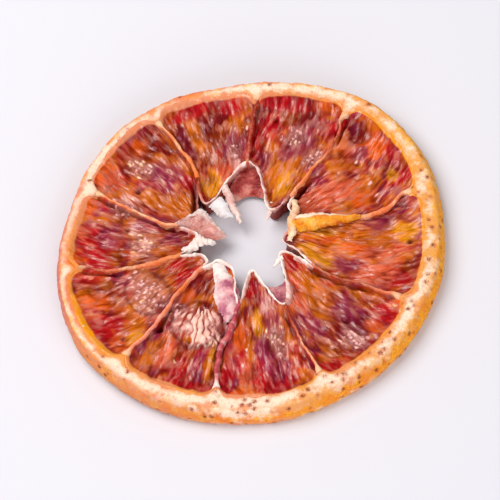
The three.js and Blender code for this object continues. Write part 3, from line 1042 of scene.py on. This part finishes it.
def segment(k, looks):
    ends = np.linspace(0, 1, PULP_ROWS)
    t = (ends - 0.08 * np.sin(2 * np.pi * ends) / np.pi)[:, None]
    pith = round_core(k, t)[2]
    hole = hole_radius(k, t) + HOLE_GAP
    r = lerp(hole, pith + UNDER_RIND, np.linspace(0, 1, PULP_COLUMNS)[None, :])
    direction = direction_in(k, t, r)
    evened = 0.6 * r + 8
    across = (t - 0.5) * spread_of(k, evened) * evened
    x, y = from_core(direction, r)
    to_pith = pith - r
    keep = step(0, 0.7, to_membrane(k, t, r)) * step(0, 1, r - hole + 0.2) * step(-0.3, 0.6, to_pith)
    reach = arcs(direction, RIM_ARCS)
    sides = []
    surfaces = []
    for over in (1, 0):
        height, seam, sac = pulp_relief(r, across, 200 + 20 * k + 400 * (1 - over))
        crevice = pit = rise = smooth = foot = fan = pale = gaps = 0 * r
        if over:
            crevice = crevice_at(k, t, r)
            pit = pit_at(direction, r)
            rise, smooth, foot = forms_at(direction, r)
            fan, pale, gaps = fan_at(direction, r)
        place = direction if over else direction + math.radians(UNDERSIDE_TURN)
        kinds = {kind: patch_weight(kind, place, r, 90 + 7 * i) for i, kind in enumerate(PATCHES)}
        dome, pearl = pearls_at(x, y, kinds["beads"])
        plain = 1 - np.maximum(0.8 * smooth, pale > 0.05)
        relief = keep * (height * plain + rise + fan + 0.12 * dome) - crevice - pit
        level = pulp_level(k, t, r, over)
        if over:
            banked = np.minimum(reach, 1) * step(1, -0.3, to_pith) * step(-0.8, -0.3, to_pith)
            z = level + BANKED * banked + relief
        else:
            z = np.maximum(level - relief, 0.05)
        surfaces.append(np.stack([x, y, z], axis=-1))
        weights = {
            "fan": pale,
            "pearl": pearl,
            "rim": step(1, 0.2, to_pith / np.maximum(reach, 0.1)) * (reach > 0.1),
            "yellow": arcs(direction, YELLOW_ARCS),
            # rise is the relief's height, which is painted lighter on top and darker low down.
            "rise": np.clip(0.5 + keep * (height + 0.6 * rise), 0, 1),
            # Where shade is painted in the seams between the sacs.
            "seam": seam * keep * (1 - smooth),
            "sac": sac,
            # Painted shade in crevices and pits, at the foot of bulges and in the fan's gaps.
            "dark": np.clip(0.8 * crevice + pit + 0.6 * foot + 0.15 * gaps, 0, 1),
            "grain": np.stack([across + 40 * k, r + 50 * (1 - over), 0 * r], axis=-1),
        }
        sides.append({**weights, **kinds})
    weights = {key: np.stack([side[key] for side in sides]) for key in sides[0]}
    mesh_piece(f"segment_{k + 1:02d}", *shell(*surfaces), looks, weights)


# ---- The membranes and the lips of the hole ----

SIDE_ROWS = 7
TOP_ROWS = 6
MEMBRANE_COLUMNS = 170
MEMBRANE_WIDTH = 0.85
# How far a membrane reaches into the rind.
INTO_RIND = 1.1
LIP_COLUMNS = 150
LIP_WIDTH = 0.33
LIP_RISE = 0.28


def standing_sheet(path, bottom, top, thickness):
    """The two faces of a thin sheet that stands on a path, with a round upper edge, as grids
    for shell(), and the share of the height at each row."""
    side = left_of(path)
    half = thickness[:, None] / 2
    level = np.linspace(0, 1, SIDE_ROWS)[None, :]
    angle = np.linspace(0, 0.48 * np.pi, TOP_ROWS + 1)[None, 1:]
    bottom, top = bottom[:, None], top[:, None]
    z = np.concatenate([lerp(bottom, top - half, level), top - half * (1 - np.sin(angle))], axis=1)
    out = np.concatenate([half + 0 * level, half * np.cos(angle)], axis=1)
    faces = []
    for sign in (1, -1):
        xy = path[:, None, :] + sign * side[:, None, :] * out[..., None]
        faces.append(np.concatenate([xy, z[..., None]], axis=-1))
    return faces, (z - bottom) / (top - bottom)


# Each membrane at the STATIONS, distances from the core: how light it is, how wide, how far its
# edge lies below the cut face, and how rosy (more than 0) or amber (less than 0) it is.
STATIONS = (9, 13, 17, 21, 25, 28)
RIBS = [
    ((0.8, 0.8, 0.8, 0.9, 0.8, 1), (0.4, 0.4, 0.6, 0.85, 0.5, 0.5),
     (0, 0, 0.1, 0, 0.1, 0), (-0.5, -0.5, -0.4, -0.3, 0, 0)),
    ((1, 1, 0.9, 0.2, 0.8, 1), (0.7, 0.6, 0.45, 0.35, 0.6, 0.7),
     (0, 0, 0.1, 0.4, 0.1, 0), (-0.3, -0.5, -0.2, 0.4, 0.5, 0.2)),
    ((0.5, 0.6, 0.3, 0.1, 0.1, 0.9), (0.5, 0.5, 0.6, 0.5, 0.5, 0.8),
     (0, 0.1, 0.3, 0.4, 0.35, 0), (0.8, 0.8, 0.8, 0.8, 0.6, 0.2)),
    ((0.7, 0.9, 1, 1, 1, 1), (0.6, 0.8, 0.75, 0.45, 0.42, 0.5),
     (0.1, 0, 0, 0, 0, 0), (-0.8, -0.8, -0.5, -0.1, 0, 0)),
    ((0.8, 0.9, 0.9, 0.9, 0.9, 1), (0.5, 0.5, 0.45, 0.4, 0.4, 0.5),
     (0, 0, 0, 0, 0.05, 0), (-0.3, -0.2, 0, 0.1, 0, 0)),
    ((0.8, 0.8, 0.7, 0.6, 0.4, 0.8), (0.6, 0.9, 0.7, 0.6, 0.5, 0.5),
     (0, 0, 0.05, 0.1, 0.25, 0), (-0.7, -0.7, -0.3, 0.1, 0.7, 0.3)),
    ((0.9, 0.8, 0.9, 1, 1, 1), (0.7, 0.5, 0.55, 0.6, 0.5, 0.5),
     (0, 0, 0, 0, 0, 0), (0, -0.8, -0.5, 0.1, 0, -0.3)),
    ((0.5, 0.7, 0.8, 0.8, 0.8, 1), (0.5, 0.7, 1, 0.9, 0.75, 0.7),
     (0.1, 0.1, 0.1, 0.2, 0.2, 0), (0.1, 0.3, 0.4, 0.35, 0.3, 0)),
    ((0.2, 0.2, 0.15, 0.75, 1, 1), (0.4, 0.4, 0.5, 0.4, 0.38, 0.5),
     (0.3, 0.3, 0.35, 0, 0, 0), (0.8, 0.8, 0.6, 0.1, -0.1, 0)),
    ((1, 0.5, 0.2, 0.5, 0.9, 1), (0.5, 0.4, 0.4, 0.35, 0.4, 0.5),
     (0, 0.1, 0.25, 0.1, 0, 0), (0, 0, 0.2, 0.3, 0.3, 0)),
]
RIB_SKINS = {6: "salmon_skin", 7: "plum_skin"}
# Membranes that wave more or less than the rest.
WAVY = {3: 0.6, 7: 2}


def membrane(k, looks):
    arm = MEMBRANES[k]["arm"]
    _, _, pith, thickness = round_core(k, np.array(0.0))
    length = np.linspace(arm - 0.4, pith + INTO_RIND, MEMBRANE_COLUMNS)
    to_pith = pith - length
    to_flare = step(3, 0.5, to_pith)
    direction = lerp(membrane_direction(k, length), membrane_direction(k, PATH_RADII[-1]), to_flare)
    ease = step(0, 1.5, length - arm) * step(0, 1.5, to_pith + INTO_RIND)
    wiggle = 0.16 * noise(300 + k, length / 2.2) + 0.07 * noise(320 + k, length / 0.7)
    direction = direction + WAVY.get(k, 1) * ease * wiggle / length
    x, y = from_core(direction, length)
    tones, widths, drops, hues = [np.interp(length, STATIONS, row) for row in RIBS[k]]
    dip = 0.1 * noise(340 + k, length / 3) + 0.08 * noise(350 + k, length / 0.8)
    top = thickness + lift(x, y) + 0.05 - np.maximum(dip, -0.08) - drops
    top = top - 0.4 * step(-0.1, -0.9, to_pith)
    bottom = np.maximum(lift(x, y) + 0.1 + 0.1 * noise(360 + k, length / 2), 0.05)
    uneven = 1 + 0.22 * noise(370 + k, length / 1.6) + 0.14 * noise(375 + k, length / 0.6)
    wide = MEMBRANE_WIDTH * widths * uneven + step(1.5, -0.6, to_pith)
    faces, height = standing_sheet(np.stack([x, y], axis=-1), bottom, top, wide)
    pith_near = step(2.2, 0.3, to_pith)
    # Flecks on rosy membranes are painted glints.
    flecks = step(0.1, 0.4, noise(380 + k, length / 0.45)) * np.maximum(hues, 0)
    weights = {
        "white": np.maximum(0.95 * pith_near, 0.75 * flecks),
        "rosy": np.maximum(hues, 0) * (1 - pith_near),
        "amber": np.maximum(-hues, 0) * (1 - pith_near),
    }
    weights = {key: values[:, None] + 0 * height for key, values in weights.items()}
    # Painted shade on the lower part of the sheet, and a darker tone of its own where it is less light.
    weights["deep"] = np.maximum(1 - tones[:, None], 0.7 * step(0.7, 0.4, height))
    mesh_piece(f"membrane_{k + 1:02d}", *shell(*faces), looks, weights)


# How white each segment's lip is at its first membrane, at its tip and at its next membrane, how
# amber it is where it isn't white, how far it leans out over the hole and how low it starts.
LIPS = [
    ((0.6, 0.8, 0.6), 0.6, 0.1, 0), ((0.1, 0.6, 0.6), 0.2, 0.3, 0), ((0.6, 0.3, -0.4), 0.9, 0.2, 0),
    ((-0.6, -0.2, 0.3), 0, 0, 0.9), ((0, 0.8, 0.9), 0.5, 0.2, 0), ((0.9, 0.9, 0.6), 0, 0.3, 0),
    ((0.8, 0.9, 0.7), 0, 0.1, 0), ((0.3, 1, 1), 0, -0.1, 0), ((0.3, 0.9, 0.8), 0, 0.15, 0),
    ((0.7, 0.4, 0.1), 0.4, 0.2, 0),
]
# How much wider a lip is where it starts.
WIDE_LIPS = {2: 0.35, 8: 0.7}


def lip(k, looks):
    """The skin round the end of segment k, along the edge of the hole."""
    t = np.linspace(0, 1, LIP_COLUMNS)
    r = hole_radius(k, t)
    path = np.stack(from_core(direction_in(k, t, r), r), axis=-1)
    along = arc_length(path)
    ends = step(0, 1.5, along) * step(0, 1.5, along[-1] - along)
    to_hole = left_of(path)
    wiggle = 0.1 + 0.13 * noise(400 + k, along / 1.6) + 0.05 * noise(405 + k, along / 0.5)
    path = path + to_hole * (ends * wiggle)[:, None]
    torn = 0.22 * noise(420 + k, along / 1.9) + 0.12 * noise(430 + k, along / 0.5)
    whiteness, amber, leaning, low = LIPS[k]
    top = pulp_level(k, t, r, 1) + LIP_RISE + torn - low * step(0.12, 0, t)
    bottom = np.maximum(pulp_level(k, t, r, 0) + 0.12 * noise(440 + k, along / 1.2) - 0.1, 0.02)
    wide = LIP_WIDTH + 0.16 * noise(450 + k, along / 1.2) + 0.08 * noise(455 + k, along / 0.4)
    wide = wide + WIDE_LIPS.get(k, 0) * step(0.35, 0.05, t)
    faces, share = standing_sheet(path, bottom, top, wide)
    along = along[:, None]
    belly = 0.25 * rough(460 + k, 2, along / 0.9, share * 2.5) * np.sin(np.pi * share)
    belly = belly - 0.3 * np.sin(np.pi * share) + leaning * step(0.6, 1, share)
    for face in faces:
        face[..., :2] += to_hole[:, None, :] * (ends[:, None] * belly)[..., None]
    clear = np.interp(t, (0, MEMBRANES[k]["tip_at"], 1), whiteness)[:, None]
    clear = clear + 0.35 * noise(470 + k, along / 0.8, share * 3)
    bare = step(0.3, -0.1, clear)
    # Painted shade down the lip's side into the hole, and a dark tone of its own where it is bare.
    deep = step(0.85, 0.4, share + 0.15 * noise(480 + k, along / 0.7, share * 2))
    weights = {
        "white": step(0.7, 0.98, share) * np.clip(clear, 0, 1),
        "deep": np.maximum(deep, 0.7 * bare),
        "amber": amber * bare * (1 - deep),
    }
    mesh_piece(f"lip_{k + 1:02d}", *shell(*faces), looks, weights)


# ---- Torn flaps of pith and skin in the hole ----

# Each flap lies between two edges, with points (x, y) from the core and the height above the
# cut face. bulge lifts its middle, folds is how high it is creased, and hollow bows its start
# aside. white and deep are its shares of colour, crest whitens it along its first edge, and
# start where it begins. PLAIN_FLAP holds what a flap doesn't say.
FLAP_ROWS = 72
FLAP_COLUMNS = 30
PLAIN_FLAP = {
    "skin": "torn_pith", "thick": 0.3, "bulge": 0.1, "folds": 0.22, "hollow": (0, 0),
    "white": 0, "deep": 0, "crest": 0, "start": 0,
}
FLAPS = {
    "flake_white": (
        [(-4.9, 7, -0.3), (-4.1, 5.6, -0.5), (-2.7, 4.3, -1)],
        [(-2.8, 8, 0.1), (-2, 6.9, 0.15), (-1.5, 4.2, -0.9)],
        {"skin": "flake_skin", "thick": 0.34, "bulge": 0.3, "white": 0.6, "folds": 0.12},
    ),
    "curl_upper": (
        [(-2.1, 9.9, -0.3), (-2, 8.3, -0.4), (-1.75, 6.5, -0.7), (-0.7, 3, -1.3)],
        [(-1.3, 10, -0.2), (-0.8, 8.3, -0.3), (-0.5, 6.5, -0.6), (-0.2, 3.1, -1.4)],
        {"thick": 0.28, "bulge": 0.4, "white": 0.45, "deep": 0.05},
    ),
    "sheet_left": (
        [(-10.7, 5.1, -0.5), (-8.3, 6.1, -0.3), (-5.9, 6.6, -0.2), (-4.5, 4.4, -0.6), (-3.1, 1.3, -1.5)],
        [(-10.5, 4.9, -0.7), (-9.2, 4, -0.9), (-7.9, 3.1, -1), (-5.6, 1.3, -1.3), (-3.2, 1.1, -1.6)],
        {"bulge": 0.35, "white": 0.1, "deep": 0.35, "folds": 0.35, "crest": 0.8},
    ),
    "shreds_left": (
        [(-10.8, 0.5, -0.7), (-8.7, 1.1, -0.4), (-7.6, 2.5, -0.3), (-6.4, 1.5, -0.6), (-5.3, 0.9, -1.1)],
        [(-9.9, -0.6, -0.9), (-8.4, -0.4, -0.6), (-7.3, 0.2, -0.6), (-6.2, 0.2, -0.9), (-5.1, 0.3, -1.3)],
        {"thick": 0.34, "bulge": 0.35, "white": 0.75},
    ),
    "strip_lower": (
        [(-6.3, -3.7, -0.4), (-6.7, -6.8, -0.6), (-7.2, -9.8, -0.7), (-6.9, -12.4, -0.8),
         (-6.3, -14.6, -0.8)],
        [(-4.4, -3.7, -0.9), (-3.8, -6.2, -1), (-3.3, -8.6, -1.1), (-3.5, -11.6, -1.1),
         (-5.8, -14.6, -0.9)],
        {"skin": "lavender_skin", "bulge": 0.5, "white": 0.15, "start": 0.9},
    ),
    "pocket_lower": (
        [(0.8, -8.8, -1.6), (1.4, -11.6, -1.5), (2.8, -14, -1.4)],
        [(4.9, -8.2, -1.5), (4.9, -10.8, -1.4), (3.9, -14, -1.4)],
        {"skin": "mauve_skin", "bulge": -0.4, "deep": 0.3, "hollow": (0, -1)},
    ),
    "barb_lower": (
        [(2.6, -6.3, -1.2), (3.4, -5.6, -0.8), (4.5, -4.9, -0.4)],
        [(2.9, -6.5, -1.3), (3.8, -6.1, -1), (4.8, -5.6, -0.6)],
        {"white": 0.9},
    ),
    "curl_right": (
        [(7.2, 1.6, -0.3), (9.2, 1.2, 0.1), (12, 0.6, 0.15), (15, -0.5, 0), (18, -1.3, -0.3)],
        [(7, -0.6, -0.9), (9.2, -1.5, -0.8), (12, -1.6, -0.7), (15, -1.7, -0.6), (18, -1.75, -0.5)],
        {"skin": "amber_skin", "thick": 0.4, "bulge": 0.5, "folds": 0.05, "white": -0.4,
         "deep": -0.3, "crest": 1.6},
    ),
    "tatter_right": (
        [(7.9, 4.4, -0.6), (7.8, 3, -0.5), (7.1, 1.9, -0.4), (6.7, 0.9, -0.5), (6.5, -0.4, -0.6),
         (5.7, -2.4, -0.8)],
        [(8.9, 4.4, -0.5), (8.9, 2.6, -0.4), (8.6, 1.2, -0.3), (8, 0.2, -0.4), (7.7, -1, -0.5),
         (6.7, -3, -0.6)],
        {"skin": "cream_skin", "thick": 0.44, "bulge": 0.25, "white": 0.3, "deep": 0.1},
    ),
    "skin_upper": (
        [(-1.3, 8, -3.2), (-0.7, 10.7, -2.5), (0.9, 12.4, -1.9), (2.7, 13.7, -1.2)],
        [(4.6, 6.6, -3.1), (4.6, 8.9, -2.5), (4.3, 11.2, -1.9), (3.2, 13.7, -1.2)],
        {"skin": "crimson_skin", "bulge": -0.4, "deep": 0.1, "hollow": (0.2, 1.7)},
    ),
    "drop_upper": (
        [(4.2, 5.6, -0.8), (3.9, 4.2, -1.1), (3.5, 2.8, -1.9)],
        [(5, 5.2, -0.6), (4.8, 4, -0.9), (3.9, 2.7, -1.8)],
        {"white": 0.5, "deep": 0.1},
    ),
}


def flap(name, looks):
    *edges, own = FLAPS[name]
    facts = {**PLAIN_FLAP, **own}
    first, last = [smooth_curve(edge, FLAP_ROWS) for edge in edges]
    seed = 500 + 10 * list(FLAPS).index(name)
    along = arc_length(first)
    for i, edge in enumerate((first, last)):
        for axis in (0, 1):
            tear = seed + i + 2 * axis
            edge[:, axis] += 0.16 * noise(tear, along / 0.7) + 0.09 * noise(tear, along / 0.25)
    share = np.linspace(0, 1, FLAP_COLUMNS)
    sheet = lerp(first[:, None, :], last[:, None, :], share[None, :, None])
    row = np.linspace(-1, 1, FLAP_ROWS)[:, None]
    column = np.linspace(-1, 1, FLAP_COLUMNS)[None, :]
    bowed = np.clip(-row, 0, 1) ** 1.5 * (1 - column**2)
    sheet[..., :2] += np.array(facts["hollow"]) * bowed[..., None]
    sheet[..., 2] += facts["bulge"] * np.sin(np.pi * share)
    x, y = sheet[..., 0], sheet[..., 1]
    creases = facts["folds"] * rough(seed + 4, 3, x / 1.3, y / 1.3)
    sheet[..., 2] += creases + 0.04 * noise(seed + 7, x / 0.35, y / 0.35)
    sheet = sheet + [*CORE, THICKNESS + lift(*CORE)]
    normals = unit(np.cross(np.gradient(sheet, axis=0), np.gradient(sheet, axis=1)))
    normals = normals * (np.sign(normals[..., 2].mean()) or 1)
    round_off = (1 - np.abs(row) ** 4) * (1 - np.abs(column) ** 3) + 0.12
    half = facts["thick"] / 2 * round_off[..., None]
    points, quads = shell(sheet + normals * half, sheet - normals * half)
    if np.cross(first[-1] - first[0], last[0] - first[0])[2] < 0:
        quads = quads[:, ::-1]
    patchy = 0.3 * rough(seed + 6, 2, sheet[..., 0] / 0.9, sheet[..., 1] / 0.9)
    border = np.maximum(np.abs(row), np.abs(column)) ** 6
    white = facts["white"] + facts["crest"] * step(-0.2, -0.6, column)
    white = white + facts["start"] * step(-0.2, -0.8, row)
    white = white + patchy + 0.3 * border * (1 - facts["crest"])
    deep = facts["deep"] + patchy - 0.2 * border
    weights = {"white": np.clip(white, 0, 1), "deep": np.clip(deep, 0, 1)}
    mesh_piece(name, points, quads, looks[facts["skin"]], weights)


# ---- Build ----

rind()
pulp = pulp_looks()
for k in range(COUNT):
    segment(k, pulp)
skins = {name: skin_looks(name, *tones) for name, tones in SKINS.items()}
for k in range(COUNT):
    membrane(k, skins[RIB_SKINS.get(k, "membrane")])
    lip(k, skins["torn_pith"])
for name in FLAPS:
    flap(name, skins)

# ---- Floor, light and camera ----

FLOOR_SIZE = 2
FLOOR_COLOUR = (0.72, 0.71, 0.76, 1)
SKY = (1, 0.99, 1, 1)
SKY_STRENGTH = 0.42
ELEVATION = 58.2
ROLL = 13.5
LENS = 900
# How much of the picture's width the slice takes up.
WIDTH_SHARE = 0.79
# Azimuth, elevation, distance, size, energy and colour of each light.
LIGHTS = {
    "key": (232, 60, 0.5, 0.4, 2.2, (1, 0.98, 0.96)),
    "fill": (10, 24, 0.6, 0.5, 2, (1, 1, 1)),
}
low, high = cad_bounds
middle = (low + high) / 2


def floor():
    half = FLOOR_SIZE / 2
    corners = [(-half, -half, 0), (half, -half, 0), (half, half, 0), (-half, half, 0)]
    mesh = bpy.data.meshes.new("floor")
    mesh.from_pydata(corners, [], [(0, 1, 2, 3)])
    material = bpy.data.materials.new("floor")
    material.use_nodes = True
    shader = material.node_tree.nodes["Principled BSDF"]
    shader.inputs["Base Color"].default_value = FLOOR_COLOUR
    shader.inputs["Roughness"].default_value = 0.9
    mesh.materials.append(material)
    place_in_scene("floor", mesh)


def area_light(name, azimuth, elevation, distance, size, energy, colour):
    """A soft light that faces the slice: azimuth 0 stands in front, and 90 at +X."""
    turn, rise = math.radians(azimuth), math.radians(elevation)
    back = Vector((math.sin(turn) * math.cos(rise), -math.cos(turn) * math.cos(rise), math.sin(rise)))
    lamp = bpy.data.lights.new(name, "AREA")
    lamp.shape = "DISK"
    lamp.size = size
    lamp.energy = energy
    lamp.color = colour
    holder = place_in_scene(name, lamp)
    holder.location = middle + back * distance
    holder.rotation_euler = back.to_track_quat("Z", "Y").to_euler()


def world():
    scene_world = bpy.data.worlds.new("world")
    scene_world.use_nodes = True
    background = scene_world.node_tree.nodes["Background"]
    background.inputs["Color"].default_value = SKY
    background.inputs["Strength"].default_value = SKY_STRENGTH
    bpy.context.scene.world = scene_world


def camera():
    """Looks down at the slice from in front, rolled as the slice leans."""
    elevation, roll = math.radians(ELEVATION), math.radians(ROLL)
    back = Vector((0, -math.cos(elevation), math.sin(elevation)))
    right = Vector((1, 0, 0))
    up = back.cross(right)
    image_right = right * math.cos(roll) - up * math.sin(roll)
    image_up = right * math.sin(roll) + up * math.cos(roll)
    lens = bpy.data.cameras.new("camera")
    lens.lens = LENS
    lens.clip_start = 0.01
    lens.clip_end = 10
    holder = place_in_scene("camera", lens)
    turned = Matrix((image_right, image_up, back)).transposed()
    distance = (high.x - low.x) / WIDTH_SHARE * lens.lens / lens.sensor_width
    holder.matrix_world = Matrix.Translation(middle + back * distance) @ turned.to_4x4()
    bpy.context.scene.camera = holder


floor()
world()
for name, facts in LIGHTS.items():
    area_light(name, *facts)
camera()
bpy.context.scene.view_settings.view_transform = "Standard"
